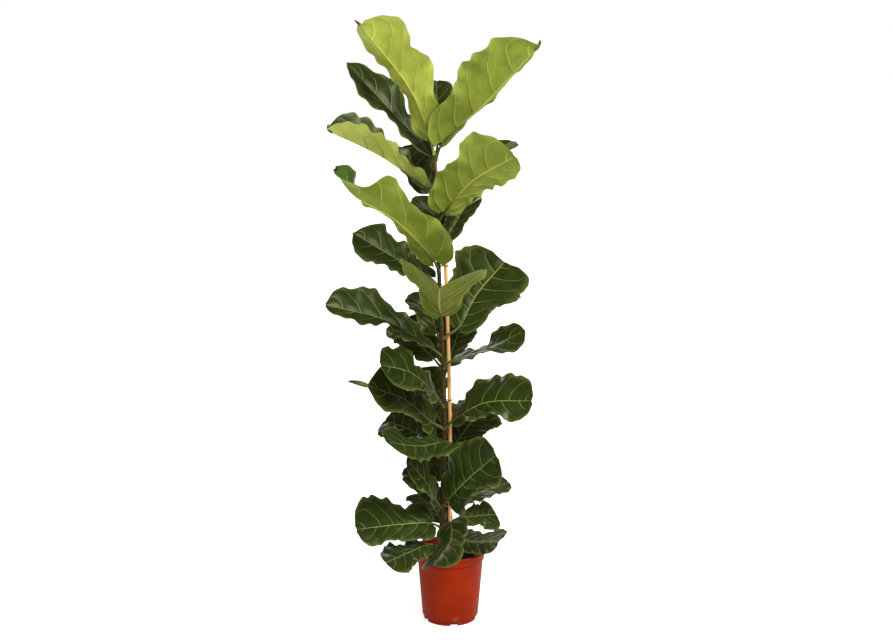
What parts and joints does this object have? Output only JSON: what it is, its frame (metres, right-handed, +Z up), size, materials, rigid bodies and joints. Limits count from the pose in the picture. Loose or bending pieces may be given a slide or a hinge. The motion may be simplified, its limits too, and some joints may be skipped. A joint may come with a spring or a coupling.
{
  "type": "potted fiddle leaf fig",
  "caption": "Tall fiddle leaf fig on one tied trunk with large waved leaves, in a round plastic nursery pot.",
  "frame": {"origin": "middle of the pot's flat underside, on the ground", "axes": "+Z up along the trunk, -Y towards the side that the picture shows, +X to its right"},
  "size_m": [0.5826, 0.4646, 1.7011],
  "materials": {
    "pot_plastic": "satin moulded plastic, terracotta red",
    "potting_soil": "damp dark peat potting soil, rough",
    "bark": "smooth young bark, red brown with green stretches",
    "bamboo": "split-smooth bamboo cane, satin",
    "tie_coating": "black coated wire",
    "young_leaf": "soft yellow green leaf, satin, pale underside",
    "mature_leaf": "leathery dark green leaf, waxy gloss above, matt olive below"
  },
  "bodies": {
    "root": {"pot": "pot_plastic", "soil": "potting_soil", "trunk": "bark", "cane": "bamboo", "tie_1": "tie_coating", "tie_2": "tie_coating", "tie_3": "tie_coating", "leaf_01": "young_leaf", "leaf_02": "young_leaf", "leaf_03": "mature_leaf", "leaf_04": "mature_leaf", "leaf_05": "mature_leaf", "leaf_06": "mature_leaf", "leaf_07": "young_leaf", "leaf_08": "young_leaf", "leaf_09": "mature_leaf", "leaf_10": "mature_leaf", "leaf_11": "mature_leaf", "leaf_12": "mature_leaf", "leaf_13": "mature_leaf", "leaf_14": "mature_leaf", "leaf_15": "mature_leaf", "leaf_16": "mature_leaf", "leaf_17": "mature_leaf", "leaf_18": "mature_leaf", "leaf_19": "mature_leaf", "leaf_20": "mature_leaf", "leaf_21": "mature_leaf", "leaf_22": "mature_leaf", "leaf_23": "mature_leaf", "leaf_24": "mature_leaf", "leaf_25": "mature_leaf", "leaf_26": "mature_leaf", "leaf_27": "mature_leaf", "leaf_28": "mature_leaf", "leaf_29": "mature_leaf", "leaf_30": "mature_leaf", "leaf_31": "mature_leaf", "leaf_32": "mature_leaf", "leaf_33": "mature_leaf", "leaf_34": "mature_leaf", "leaf_35": "mature_leaf", "leaf_36": "mature_leaf", "leaf_37": "mature_leaf", "leaf_38": "mature_leaf"}
  },
  "joints": []
}
